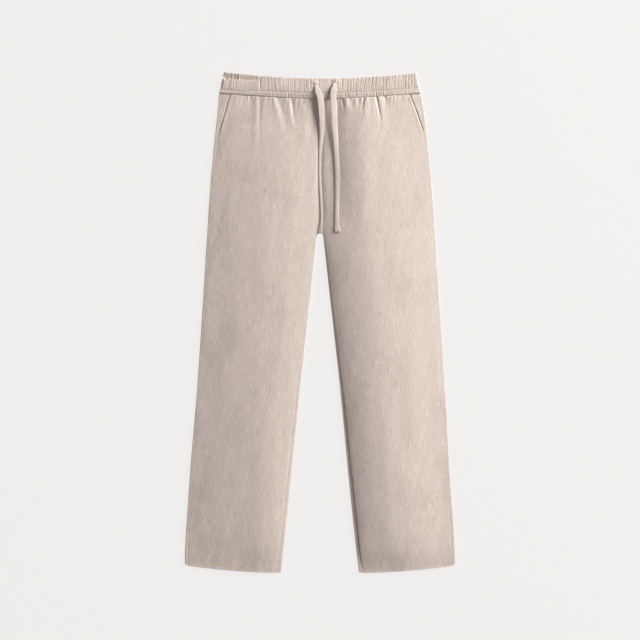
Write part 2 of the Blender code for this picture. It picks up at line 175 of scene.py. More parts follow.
# A panel's slow unevenness: soft variation of this height, over these steps, slanted across the leg
Uneven = namedtuple("Uneven", "height step_x step_y slant seed")
UNEVENNESS = (
    Uneven(0.00040, 0.035, 0.110, 0.1, 21),
    Uneven(0.00022, 0.014, 0.050, -0.2, 22),
)

# Where the fronts rise and dip
SHOULDER = {-1: 0.0008, 1: 0.0034}  # the steep rise from the inner seam, on the left and the right
SHOULDER_REACH = 0.014
GATHERS_BELOW = 0.011  # how far below the waist seam the waistband's gathers die away
SEAM_STEP = 0.0007  # how far the fronts lie below the waistband at their seam
SEAM_STEP_REACH = 0.020
SEAM_DEPTH = 0.00022
SEAM_WIDTH = 0.0010
WAIST_SEAM_DEPTH = 0.0006
MOUTH_RIDGE = 0.0003
MOUTH_TURN = 0.0005
HEM_RIDGE = 0.0003
HEM_STITCH = 0.00008
BACK_HEM_INSIDE = 0.0008  # how far the back's hem stops short of the front's
BACK_HOLLOW = 0.0007
TAPE_VALLEY = 0.0015
FACING_UNDER = 0.0014  # how far the facing lies under the pocket mouth
FACING_REACH = 0.010
SLIT_FADES_FROM = {-1: 0.55, 1: 0.30}  # where a pocket's slit starts to fade, down its mouth

# The waistband's own heights
FRONT_TOP_STEP = 0.0085  # the front's top edge rises this far, past the smooth stretch at the left
SMOOTH_PLACE = -0.150
SMOOTH_REACH = 0.019
BACK_TOP_LEAN = 0.0030
TOP_RUFFLE = 0.0014
INSIDE_RUFFLE = 0.0016
LIP_HEIGHT = 0.0012

# Each tape gets narrower lower down, by this share. It opens out, curls and narrows between two
# distances from its slit.
TAPE_NARROWING = {"left": 0.56, "right": 0.34}
TAPE_OPENS = (-0.004, 0.024)
TAPE_CURLS = (0.045, 0.120)
TAPE_NARROWS = (0.060, 0.170)
TAPE_TIP_OPENS = 0.30  # the share of the narrowing that the stitched tip loses

# The linen's soft noises: how often they change in a metre, across the warp and along it
ThreadNoise = namedtuple("ThreadNoise", "across along seed detail")
THREAD_NOISES = (
    ThreadNoise(520.0, 62.0, 11.0, 2.0),  # long slubs down the warp
    ThreadNoise(95.0, 620.0, 17.0, 1.0),  # short slubs along the weft
    ThreadNoise(1500.0, 260.0, 19.0, 0.0),  # single threads
    ThreadNoise(430.0, 24.0, 29.0, 1.0),  # long streaks
    ThreadNoise(16.0, 9.0, 23.0, 2.0),  # broad cloudiness
)

# The view from overhead
VIEW_WIDTH = 1.3286
VIEW_RISE = 0.0052  # how far the view's middle lies above the garment's

# The drawstring's free ends, which settle onto the cloth. lean turns the tape about its path, in
# degrees: 0 lies flat.
TapePoint = namedtuple("TapePoint", "x y z lean")
LEFT_TAPE = (
    TapePoint(-0.0105, 0.4965, 0.0085, 0),
    TapePoint(-0.0078, 0.4880, 0.0112, 2),
    TapePoint(-0.0036, 0.4770, 0.0128, 5),
    TapePoint(0.0002, 0.4665, 0.0120, 7),
    TapePoint(0.0024, 0.4500, 0.0102, 8),
    TapePoint(0.0038, 0.4320, 0.0084, 9),
    TapePoint(0.0042, 0.4130, 0.0068, 8),
    TapePoint(0.0034, 0.3940, 0.0055, 6),
    TapePoint(0.0016, 0.3750, 0.0045, 3),
    TapePoint(0.0002, 0.3530, 0.0039, 0),
    TapePoint(-0.0008, 0.3310, 0.0036, -2),
    TapePoint(-0.0008, 0.3100, 0.0036, -3),
    TapePoint(0.0000, 0.2880, 0.0038, -3),
    TapePoint(0.0012, 0.2650, 0.0041, -4),
    TapePoint(0.0026, 0.2400, 0.0044, -6),
    TapePoint(0.0032, 0.2180, 0.0047, -9),
    TapePoint(0.0016, 0.2010, 0.0050, -11),
    TapePoint(-0.0002, 0.1860, 0.0052, -12),
)
RIGHT_TAPE = (
    TapePoint(0.0324, 0.5005, 0.0085, 0),
    TapePoint(0.0307, 0.4920, 0.0110, 2),
    TapePoint(0.0285, 0.4820, 0.0130, 5),
    TapePoint(0.0274, 0.4710, 0.0128, 7),
    TapePoint(0.0281, 0.4560, 0.0118, 8),
    TapePoint(0.0291, 0.4380, 0.0108, 9),
    TapePoint(0.0299, 0.4180, 0.0100, 8),
    TapePoint(0.0311, 0.3980, 0.0095, 7),
    TapePoint(0.0325, 0.3780, 0.0089, 5),
    TapePoint(0.0338, 0.3560, 0.0085, 1),
    TapePoint(0.0350, 0.3320, 0.0082, -2),
    TapePoint(0.0358, 0.3060, 0.0082, -4),
    TapePoint(0.0357, 0.2800, 0.0084, -5),
    TapePoint(0.0350, 0.2540, 0.0086, -5),
    TapePoint(0.0346, 0.2300, 0.0089, -5),
    TapePoint(0.0350, 0.2090, 0.0098, -6),
    TapePoint(0.0360, 0.1870, 0.0108, -7),
)
TAPE_STEPS = 10  # pieces between two points of a route

# Grid sizes
ROWS_ABOVE_CROTCH = 130
ROWS_OF_ARCH = 12
ROWS_BELOW_CROTCH = 150
FRONT_COLUMNS = 168
BACK_COLUMNS = 40
ARC_STEPS = 12
ROLL_COLUMNS = 7
BAND_COLUMNS = 900  # along its front
BAND_BACK_COLUMNS = 320
BAND_ARC = 10  # round each end of the ring
BAND_UP = 34  # up its outer skin
BAND_INSIDE = 12  # down its inner skin
BAND_FOLD = 5  # over its top
TAPE_ROUND = 40  # points round a tape


# ---------------------------------------------------------------------------------------------
# Curves and soft variation


def smooth_through(values, places):
    """A cubic through the values at whole-number places, with each slope that of its neighbours."""
    values = np.asarray(values, float)
    slopes = np.gradient(values, axis=0)
    start = np.clip(np.floor(places).astype(int), 0, len(values) - 2)
    t = (np.asarray(places, float) - start).reshape(-1, *[1] * (values.ndim - 1))
    a, b, da, db = values[start], values[start + 1], slopes[start], slopes[start + 1]
    return (
        (2 * t**3 - 3 * t**2 + 1) * a
        + (t**3 - 2 * t**2 + t) * da
        + (3 * t**2 - 2 * t**3) * b
        + (t**3 - t**2) * db
    )


def ease(value, low, high):
    """0 up to low and 1 from high, with a smooth 3t^2 - 2t^3 between."""
    t = np.clip((value - low) / (high - low), 0, 1)
    return t * t * (3 - 2 * t)


def bell(distance, half_width):
    """e to the minus square of distance over half_width."""
    return np.exp(-((distance / half_width) ** 2))


def wander(x, y, step_x, step_y, seed):
    """Values between -1 and 1 that change softly: a seeded random lattice, eased between its points."""
    lattice = np.random.default_rng(seed).uniform(-1, 1, (97, 97))
    x, y = np.broadcast_arrays(x / step_x + 48, y / step_y + 48)
    column, row = np.floor(x).astype(int), np.floor(y).astype(int)
    across, up = ease(x - column, 0, 1), ease(y - row, 0, 1)
    column, row = column % 96, row % 96
    low = lattice[row, column] * (1 - across) + lattice[row, column + 1] * across
    high = lattice[row + 1, column] * (1 - across) + lattice[row + 1, column + 1] * across
    return low * (1 - up) + high * up


def three_point(values, share):
    """A parabola through the values at -1, 0 and 1."""
    left, centre, right = values
    return centre + (right - left) / 2 * share + ((right + left) / 2 - centre) * share**2


def waist_seam_y(x):
    """The waist seam dips from the sides to the centre."""
    top = ABOVE_CROTCH[0]
    share = np.clip(np.abs(x) / top.side_x, 0, 1)
    return top.inner_y + (top.side_y - top.inner_y) * share**WAIST_CURVE


def waist_seam_height(x):
    """The height of the waistband's lower edge: its ring, and a rise over the middle by a power."""
    share = np.clip(np.abs(x) / ABOVE_CROTCH[0].side_x, 0, 1)
    return 2 * BAND_RADIUS + BAND_RISE * BAND_RISE_AT_SEAM * (1 - share**1.6)


def hem_y(x):
    """A hem rises from the inseam to the side seam."""
    hem = BELOW_CROTCH[-1]
    share = np.clip((x - hem.inner_x) / (hem.side_x - hem.inner_x), 0, 1)
    past = np.clip((x - hem.side_x + HEM_CORNER) / HEM_CORNER, 0, 1)
    corner = 0.6 * HEM_CORNER * (1 - np.sqrt(1 - past**2))
    return HEM_Y + (hem.side_y - hem.inner_y) * share**HEM_CURVE + corner


# ---------------------------------------------------------------------------------------------
# Meshes from grids


def make_surface(name, points, uv, used=None, closed=False, capped=False):
    """A mesh over a grid of points, (rows, columns, 3). closed joins the last column to the first, and
    uv then has one more column. capped closes a tube's first and last rows."""
    rows, columns = points.shape[:2]
    index = np.arange(rows * columns).reshape(rows, columns)
    if closed:
        index = np.concatenate([index, index[:, :1]], axis=1)
    cells = np.ones((rows - 1, index.shape[1] - 1), bool) if used is None else used
    corners = ((0, 0), (1, 0), (1, 1), (0, 1))
    width = index.shape[1] - 1
    quads = np.stack(
        [index[r : rows - 1 + r, c : width + c][cells] for r, c in corners], axis=-1
    )
    loop_uv = np.stack([uv[r : rows - 1 + r, c : width + c][cells] for r, c in corners], axis=1)
    faces, loop_uv = quads.tolist(), loop_uv.reshape(-1, 2)
    if capped:
        ends = [index[0, :-1], index[-1, :-1][::-1]]
        faces += [end.tolist() for end in ends]
        loop_uv = np.concatenate([loop_uv, uv[0, :-1], uv[-1, :-1][::-1]])
    mesh = bpy.data.meshes.new(name)
    mesh.from_pydata(points.reshape(-1, 3).tolist(), [], faces)
    layer = mesh.uv_layers.new(name="cloth")
    layer.data.foreach_set("uv", np.ascontiguousarray(loop_uv, np.float32).ravel())
    mesh.shade_smooth()
    obj = bpy.data.objects.new(name, mesh)
    bpy.context.scene.collection.objects.link(obj)
    drop_loose(obj)
    return obj


def drop_loose(obj):
    """Removes the points that no face uses."""
    mesh = obj.data
    used = np.zeros(len(mesh.vertices), bool)
    corners = np.empty(len(mesh.loops), np.int32)
    mesh.loops.foreach_get("vertex_index", corners)
    used[corners] = True
    if used.all():
        return
    build = bmesh.new()
    build.from_mesh(mesh)
    build.verts.ensure_lookup_table()
    loose = [build.verts[i] for i in np.flatnonzero(~used)]
    bmesh.ops.delete(build, geom=loose, context="VERTS")
    build.to_mesh(mesh)
    build.free()


def add_wall(obj, thickness):
    """A wall inside the surface, closed round its rim. The rim's corners are sharp, so that the light
    on the surface runs evenly up to it."""
    solidify = obj.modifiers.new("Wall", "SOLIDIFY")
    solidify.thickness = thickness
    solidify.offset = -1
    solidify.use_even_offset = False
    bpy.context.view_layer.update()
    walled = obj.evaluated_get(bpy.context.evaluated_depsgraph_get())
    mesh = bpy.data.meshes.new_from_object(walled)
    obj.modifiers.clear()
    obj.data = mesh
    mesh.set_sharp_from_angle(angle=math.radians(55))


def shifted(points):
    """The legs lie a little to the right: x grows towards both side edges, between waist and knee."""
    x, y = points[..., 0], points[..., 1]
    lower, upper = ease(y, -0.32, -0.12), 1 - ease(y, 0.43, 0.478)
    reach = np.where(x > 0, 0.0034, 0.0020) * np.clip(np.abs(x) / 0.25, 0, 1)
    return np.stack([x + reach * lower * upper, y, points[..., 2]], axis=-1)


def mirrored(points, side):
    """The grid of one half on the side asked for, shifted. For -1, X is turned over first, and the
    columns run the other way."""
    if side < 0:
        points = points[:, ::-1] * (-1, 1, 1)
    return shifted(points)


# ---------------------------------------------------------------------------------------------
# One half's rows, in plan


def edge_normals(points, first=None):
    """Unit vectors in plan that point to the right of an edge that runs through the points."""
    run = np.gradient(points, axis=0)
    run /= np.linalg.norm(run, axis=1)[:, None]
    normal = np.stack([-run[:, 1], run[:, 0]], axis=1)
    if first is not None:
        normal[0] = first
    return normal


class Half:
    """The fine rows of one half at +X, and where its edges, folds and seams lie in plan."""

    def __init__(self):
        above = np.array([row[1:] for row in ABOVE_CROTCH])
        below = np.array([row[1:] for row in BELOW_CROTCH])
        # The rows crowd towards the waist seam, where the creases are.
        share = np.linspace(0, 1, ROWS_ABOVE_CROTCH + 1) ** 1.3
        rows_above = smooth_through(above, share * (len(above) - 1))
        share = np.arange(1, ROWS_OF_ARCH) / ROWS_OF_ARCH
        arch = above[-1] + share[:, None] * (below[0] - above[-1])
        angle = share * math.pi / 2
        arch[:, 2] = CROTCH_ARCH_WIDTH * np.sin(angle)
        arch[:, 3] = CROTCH_Y - CROTCH_ARCH_HEIGHT * (1 - np.cos(angle))
        # Below the crotch they crowd towards the hem.
        share = 1 - (1 - np.linspace(0, 1, ROWS_BELOW_CROTCH + 1)) ** 1.25
        rows_below = smooth_through(below, share * (len(below) - 1))
        rows = np.concatenate([rows_above, arch, rows_below])
        self.crotch = ROWS_ABOVE_CROTCH
        self.pocket_end = int(np.searchsorted(-rows_above[:, 1], -ABOVE_CROTCH[1].side_y))
        self.count = len(rows)
        self.side, self.inner = rows[:, 0:2], rows[:, 2:4]
        self.side_roll, self.inner_roll, self.crown = rows[:, 4], rows[:, 5], rows[:, 6]
        self.side_normal = edge_normals(self.side)
        self.inner_normal = np.tile((-1.0, 0.0), (len(rows), 1))
        self.inner_normal[self.crotch :] = -edge_normals(self.inner[self.crotch :], (0.0, 1.0))

    def side_at(self, depth):
        """Points that lie depth inside the side edge, one for each row."""
        return self.side - self.side_normal * np.broadcast_to(depth, self.count)[:, None]

    def inner_at(self, depth):
        """The same inside the inner leg edge, and beside the centre seam above the crotch."""
        at = self.inner - self.inner_normal * np.broadcast_to(depth, self.count)[:, None]
        above = self.inner[: self.crotch]
        top, foot = above[0, 1], self.inner[self.crotch, 1]
        # The centre seam ends at the arch's top, so its rows close up to make room for the depth.
        share = (top - above[:, 1]) / (top - foot)
        at[: self.crotch] = above + (at[self.crotch] - self.inner[self.crotch]) * share[:, None]
        at[:, 0] = np.maximum(at[:, 0], SEAM_GAP / 2)
        return at

    def pocket_mouth(self):
        """The slanted line from the waist seam to the side seam, one point for each row it passes."""
        foot = self.side_at(EDGE_RADIUS + self.side_roll + SEAM_GAP / 2)[self.pocket_end]
        top = np.array([POCKET_TOP_X, waist_seam_y(POCKET_TOP_X)])
        heights = self.side[: self.pocket_end + 1, 1]
        share = (heights[0] - heights) / (heights[0] - heights[-1])
        return top + share[:, None] * (foot - top)

    def inner_line(self, y):
        """The inner leg edge's x at a height, carried on in a straight line over the arch."""
        foot, below = BELOW_CROTCH[0], BELOW_CROTCH[1]
        lean = (below.inner_x - foot.inner_x) / (foot.inner_y - below.inner_y)
        heights = np.append(self.inner[: self.crotch + ROWS_OF_ARCH - 1 : -1, 1], 0)
        places = np.append(self.inner[: self.crotch + ROWS_OF_ARCH - 1 : -1, 0], 0.0)
        heights[-1] = foot.inner_y + foot.inner_x / lean
        return np.interp(y, heights, places)

    def across(self, x, y):
        """0 at the inner edge's line and 1 at the side edge."""
        line = self.inner_line(y)
        return (x - line) / (self.side[: len(x), :1] - line)


def between(inner, outer, share):
    """A grid in plan, of straight rows from the inner points to the outer ones."""
    return inner[:, None] + share[None, :, None] * (outer - inner)[:, None]


def crowded(count, crowding=0.6):
    """Shares from 0 to 1 that lie closer together towards both ends."""
    s = np.linspace(0, 1, count + 1)
    return (1 - crowding) * s + crowding * (0.5 - 0.5 * np.cos(math.pi * s))


# ---------------------------------------------------------------------------------------------
# The cloth's relief


def crease_height(x, y, side, strength):
    """The creases, summed: each is a bell across its line, and fades towards its foot."""
    total = np.zeros_like(x)
    for crease in CREASES:
        head = np.array([crease.head_x, crease.head_y])
        run = np.array([crease.foot_x, crease.foot_y]) - head
        length = np.linalg.norm(run)
        run /= length
        along = ((side * x - head[0]) * run[0] + (y - head[1]) * run[1]) / length
        across = (side * x - head[0]) * run[1] - (y - head[1]) * run[0]
        fade = (1 - ease(along, 0.25, 1.0)) * ease(along, -0.35, 0.0)
        width = crease.half_width * (1 + 0.6 * np.clip(along, 0, 1))
        total += crease.height * strength * bell(across, width) * fade
    return total


def gather_wave(x, pitch, seed, sharpness=2.4):
    """Puffy ridges with narrow troughs, 0 to about 1, whose widths and heights differ."""
    phase = x / pitch + 0.55 * wander(x, 0 * x, 2.3 * pitch, 1, seed)
    number = np.floor(phase).astype(int)
    heights = np.random.default_rng(seed + 1).uniform(0.45, 1.0, 512)
    return (1 - np.abs(2 * (phase - number) - 1) ** sharpness) * heights[number % 512]


def crown_share(across, side, y):
    """The crown's shape: 1 at its top, and 0 at the inner edge and the side, by a power each way. On
    the right, below the knee, the outer slope softens to a cosine, which ends level."""
    place = CROWN_PLACE
    if side < 0:
        thigh, ankle = LEFT_CROWN_PLACES
        place = thigh + (ankle - thigh) * ease(-y, 0.02, 0.40)
    outer = across > place
    share = np.abs(across - place) / np.where(outer, 1 - place, place)
    shape = 1 - share**CROWN_POWER
    if side > 0:
        level = 0.6 * ease(-y, 0.08, 0.24) * outer
        shape = shape + level * (0.5 + 0.5 * np.cos(math.pi * share) - shape)
    return FULLNESS[side] * shape


def puckers(x, up, pitch, seed, narrow=7.0):
    """Narrow troughs, 0 to -1, with flat stretches between: a power of the distance from the middle
    of a stretch. Each trough has its own depth and place, and starts at its own share of the height."""
    rng = np.random.default_rng(seed)
    depths, starts = rng.uniform(0.15, 1.0, 512) ** 1.3, rng.uniform(-0.35, 0.6, 512)
    phase = x / pitch + 0.75 * wander(x, 0 * x, 2.1 * pitch, 1, seed) + 200
    number = np.floor(phase + 0.5).astype(int) % 512
    trough = np.abs(2 * (phase - np.floor(phase)) - 1) ** narrow
    return -trough * depths[number] * ease(up, starts[number], starts[number] + 0.30)


def front_height(half, x, y, side, sizes):
    """A front's outer height: its crown, its creases, the waistband's gathers dying away below the
    waist seam, a slow unevenness, and the valley that the left tape lies in."""
    across = np.clip(half.across(x, y), 0, 1)
    crown = half.crown[:, None] * crown_share(across, side, y)
    # The cloth rises steeply from the inner seam, more so on the fuller right leg.
    from_seam = across * half.side[:, :1]
    leg = ease(CROTCH_Y - y, -0.06, 0.06) * ease(y - HEM_Y, 0.0, 0.05)
    crown = crown + SHOULDER[side] * leg * (1 - np.exp(-from_seam / SHOULDER_REACH)) * (1 - across)
    signed = side * x
    below = waist_seam_y(x) - y
    inside = ease(across, 0.0, 0.12) * ease(1 - across, 0.0, 0.1)
    gathers = gather_wave(signed + 0.15 * below, sizes.gather_pitch * 1.1, 7) - 0.4
    gathers = gathers * sizes.gather_height * 0.9 * np.exp(-np.maximum(below, 0) / GATHERS_BELOW)
    slow = 0
    for row in UNEVENNESS:
        slow = slow + row.height * wander(signed + row.slant * y, y, row.step_x, row.step_y, row.seed)
    z = EDGE_HEIGHT + crown + (slow + gathers) * inside
    # Near the waist seam the fronts' middle comes to the waistband's height.
    near = (1 - ease(x, 0.10, 0.16)) * np.exp(-np.maximum(below, 0) / SEAM_STEP_REACH)
    z += (waist_seam_height(x) - SEAM_STEP - EDGE_HEIGHT - crown) * near
    z += crease_height(x, y, side, sizes.crease_strength) * ease(1 - across, 0.0, 0.05)
    return z - tape_valley(signed, y)


def tape_valley(x, y):
    """The shallow valley that the left tape lies in: a bell across the tape's route."""
    route = np.array(LEFT_TAPE)[::-1]
    along = ease(y, 0.196, 0.230) * (1 - ease(y, 0.360, 0.430))
    return TAPE_VALLEY * bell(x - np.interp(y, route[:, 1], route[:, 0]) - 0.0008, 0.0062) * along


def seam_groove(distance, roll):
    """The dip where a panel's edge turns in to its seam, deeper where the seam lies on the top."""
    depth = SEAM_DEPTH * ease(roll, 0.0026, 0.0048)
    return -depth[:, None] * bell(distance, SEAM_WIDTH)


# ---------------------------------------------------------------------------------------------
# The pieces


def grain_uv(points, turn):
    """The place on the cloth, in metres, turned so that the warp runs down the leg."""
    x, y = points[..., 0], points[..., 1]
    return np.stack(
        [x * math.cos(turn) + y * math.sin(turn), y * math.cos(turn) - x * math.sin(turn)], axis=-1
    )


def make_front(half, side, sizes):
    """z = front_height(x, y) over straight rows from the centre seam or inseam to the pocket mouth or
    side seam, with the cloth's wall inside it."""
    seam = SEAM_GAP / 2
    inner = half.inner_at(EDGE_RADIUS + half.inner_roll + seam)
    outer = half.side_at(EDGE_RADIUS + half.side_roll + seam)
    outer[: half.pocket_end + 1] = half.pocket_mouth() - (seam, 0)
    plan = between(inner, outer, crowded(FRONT_COLUMNS))
    x, y = plan[..., 0], plan[..., 1].copy()
    end = waist_seam_y(x[0]) - y[0]
    near_waist = 1 - ease(np.arange(half.count), 0, 30)[:, None]
    y += end * near_waist
    end = hem_y(x[-1]) - y[-1]
    near_hem = ease(np.arange(half.count), half.count - 40, half.count - 1)[:, None]
    y += end * near_hem
    z = front_height(half, x, y, side, sizes)
    gap_inner = np.linalg.norm(plan - inner[:, None], axis=-1)
    gap_outer = np.linalg.norm(plan - outer[:, None], axis=-1)
    z += seam_groove(gap_inner, half.inner_roll)
    pocket = np.arange(half.count)[:, None] <= half.pocket_end
    z += np.where(pocket, 0, seam_groove(gap_outer, half.side_roll))
    # The pocket mouth is a folded edge, a little thicker than the panel, that turns down at its rim.
    z += np.where(pocket, MOUTH_RIDGE * bell(gap_outer - 0.003, 0.0034), 0)
    z -= np.where(pocket, MOUTH_TURN * bell(gap_outer, 0.0009), 0)
    z -= WAIST_SEAM_DEPTH * bell(waist_seam_y(x) - y, SEAM_WIDTH)
    hem = y - hem_y(x)
    z += HEM_RIDGE * bell(hem, 0.0040)
    z -= HEM_STITCH * bell(hem - sizes.hem_depth, 0.0014)
    points = mirrored(np.stack([x, y, z], axis=-1), side)
    name = "front_right" if side > 0 else "front_left"
    obj = make_surface(name + "_linen", points, grain_uv(points, side * 0.07))
    add_wall(obj, sizes.cloth)
    return obj


def wrap(edge, normal, roll):
    """A back's turned-up edge, from the flat to the seam: half of a squared circle, whose sine and
    cosine are raised to a power below 1, as in a pressed fold, and then a strip on the top."""
    angles = np.linspace(0, math.pi, ARC_STEPS + 1)[1:]
    sine = np.abs(np.sin(angles)) ** PRESSED
    cosine = np.sign(np.cos(angles)) * np.abs(np.cos(angles)) ** PRESSED
    strip = np.arange(1, ROLL_COLUMNS + 1) / ROLL_COLUMNS
    out = np.concatenate([sine - 1, strip * 0 - 1]) * EDGE_RADIUS
    out = np.repeat(out[None], len(edge), axis=0)
    reach = np.broadcast_to(roll - SEAM_GAP / 2, len(edge))
    out[:, ARC_STEPS:] -= reach[:, None] * strip
    z = np.concatenate([1 - cosine, strip * 0 + 2]) * EDGE_RADIUS
    z = np.repeat(z[None], len(edge), axis=0)
    to_seam = reach[:, None] * (1 - strip)
    z[:, ARC_STEPS:] += seam_groove(to_seam, roll)
    plan = edge[:, None] + normal[:, None] * out[..., None]
    return plan, z


def make_back(half, side, sizes):
    """Flat at z = 0, with its edges turned up round the folds, and soft shallow creases that lift it
    a little off the surface. Above the crotch the inner edge ends flat at the centre-back seam."""
    share = np.linspace(0, 1, BACK_COLUMNS + 1)
    flat = between(half.inner_at(EDGE_RADIUS), half.side_at(EDGE_RADIUS), share)
    inner_plan, inner_z = wrap(half.inner, half.inner_normal, half.inner_roll)
    inner_plan[..., 0] = np.maximum(inner_plan[..., 0], SEAM_GAP / 2)
    side_plan, side_z = wrap(half.side, half.side_normal, half.side_roll)
    for strip, strip_z in ((inner_plan, inner_z), (side_plan, side_z)):
        across = np.clip(half.across(strip[..., 0], strip[..., 1]), 0, 1)
        risen = crown_share(across, side, strip[..., 1])
        strip_z += half.crown[:, None] * risen * strip_z / EDGE_HEIGHT
    # Long, shallow hollows under the cloth, away from its edges.
    inside = ease(share, 0.06, 0.3) * ease(1 - share, 0.06, 0.3)
    hollow = wander(side * flat[..., 0], flat[..., 1], 0.030, 0.090, 31) - 0.25
    lift = BACK_HOLLOW * np.maximum(hollow, 0) * inside[None]
    plan = np.concatenate([inner_plan[:, ::-1], flat, side_plan], axis=1)
    z = np.concatenate([inner_z[:, ::-1], lift, side_z], axis=1)
    x, y = plan[..., 0], plan[..., 1].copy()
    count = np.arange(half.count)
    y += (waist_seam_y(x[0]) - y[0]) * (1 - ease(count, 0, 30))[:, None]
    near_hem = ease(count, half.count - 40, half.count - 1)[:, None]
    y += (hem_y(x[-1]) + BACK_HEM_INSIDE - y[-1]) * near_hem
    used = np.ones((half.count - 1, z.shape[1] - 1), bool)
    used[: half.crotch, : ARC_STEPS + ROLL_COLUMNS] = False
    points = np.stack([x, y, z], axis=-1)[:, ::-1]
    used = used[:, ::-1]
    along = np.concatenate([np.zeros((half.count, 1)), np.cumsum(
        np.linalg.norm(np.diff(points, axis=1), axis=-1), axis=1)], axis=1)
    uv = np.stack([along, points[..., 1]], axis=-1)
    if side < 0:
        uv, used = uv[:, ::-1], used[:, ::-1]
    points = mirrored(points, side)
    name = "back_right" if side > 0 else "back_left"
    obj = make_surface(name + "_linen", points, uv, used=used)
    add_wall(obj, sizes.cloth)
    return obj


def make_facing(half, side, sizes):
    """The pocket facing: it meets the side seam at the top, and slips under the pocket mouth."""
    last = half.pocket_end
    mouth = half.pocket_mouth()
    outer = half.side_at(EDGE_RADIUS + half.side_roll + SEAM_GAP / 2)[: last + 1]
    under = mouth - (FACING_REACH, 0.0)
    rows = np.arange(last + 1)
    share = np.linspace(0, 1, 25)
    plan = between(under, outer, share)
    x, y = plan[..., 0], plan[..., 1].copy()
    y += (waist_seam_y(x[0]) - y[0]) * (1 - ease(rows, 0, 30))[:, None]
    across = half.across(x, y)
    crown = half.crown[: last + 1, None] * crown_share(across, side, y)
    to_mouth = np.maximum((x - mouth[:, :1]) * 0.98, 0)
    length = ease(rows, 0.04 * last, 0.2 * last)
    length = length * (1 - ease(rows, SLIT_FADES_FROM[side] * last, last))
    slit = sizes.pocket_slit * bell(to_mouth, 0.0009) * length[:, None]
    lower = FACING_UNDER * (1 - ease(to_mouth, 0.0, 0.0025))
    z = EDGE_HEIGHT + crown - slit - lower
    z -= 0.0011 * bell(waist_seam_y(x) - y, 0.0010)
    z = np.maximum(z, BACK_WALL + sizes.cloth)
    points = mirrored(np.stack([x, y, z], axis=-1), side)
    name = "pocket_facing_right" if side > 0 else "pocket_facing_left"
    obj = make_surface(name + "_linen", points, grain_uv(points, side * 0.07))
    add_wall(obj, sizes.cloth * 0.7)
    return obj


def band_relief(x, up, is_front, sizes):
    """How far the band's outer skin stands out: gathers over the elastic, finer puckers over the
    channel, a dip at the stitching and another at the waist seam."""
    channel = BAND_CHANNEL / BAND_HEIGHT
    slant = 0.0045 * wander(x, 0 * x, 0.016, 1, 41) * (up - 0.6)
    lean = 0.0030 * wander(x, 0 * x, 0.011, 1, 42) * (up - 0.5)
    full = gather_wave(x + slant, sizes.gather_pitch, 43)
    right = ease(x, -0.04, 0.08)
    elastic = 0.30 + (0.20 - 0.14 * right) * full
    for row in ELASTIC_PUCKERS:
        place = x + (lean if row.leans else slant)
        pitch = sizes.gather_pitch * row.pitch
        trough = puckers(place, row.start + row.run * up, pitch, row.seed, row.narrow)
        elastic = elastic + (row.weight + row.more_right * right) * trough
    calm = bell(x - SMOOTH_PLACE, SMOOTH_REACH) * ease(up, 0.0, 0.3)
    elastic = elastic * ease(up, channel, channel + 0.10) * (1 - 0.9 * calm)
    low = ease(up, 0.0, 0.08) * (1 - ease(up, channel - 0.05, channel + 0.01))
    channel_puckers = 0.40 + 0.8 * puckers(x, 1.2 - up, sizes.gather_pitch * 0.56, 53, 3.0)
    side_calm = 1 - 0.6 * ease(np.abs(x), 0.130, 0.185)
    relief = sizes.gather_height * (elastic + low * channel_puckers * side_calm)
    relief += 0.0004 * np.sin(math.pi * np.clip((up - channel) / (1 - channel), 0, 1)) * is_front
    relief -= 0.00022 * bell(up - channel, 0.022)
    seam_depth = 0.0010 - 0.0005 * ease(x, 0.02, 0.10)
    relief -= seam_depth * bell(up, 0.022)
    return relief


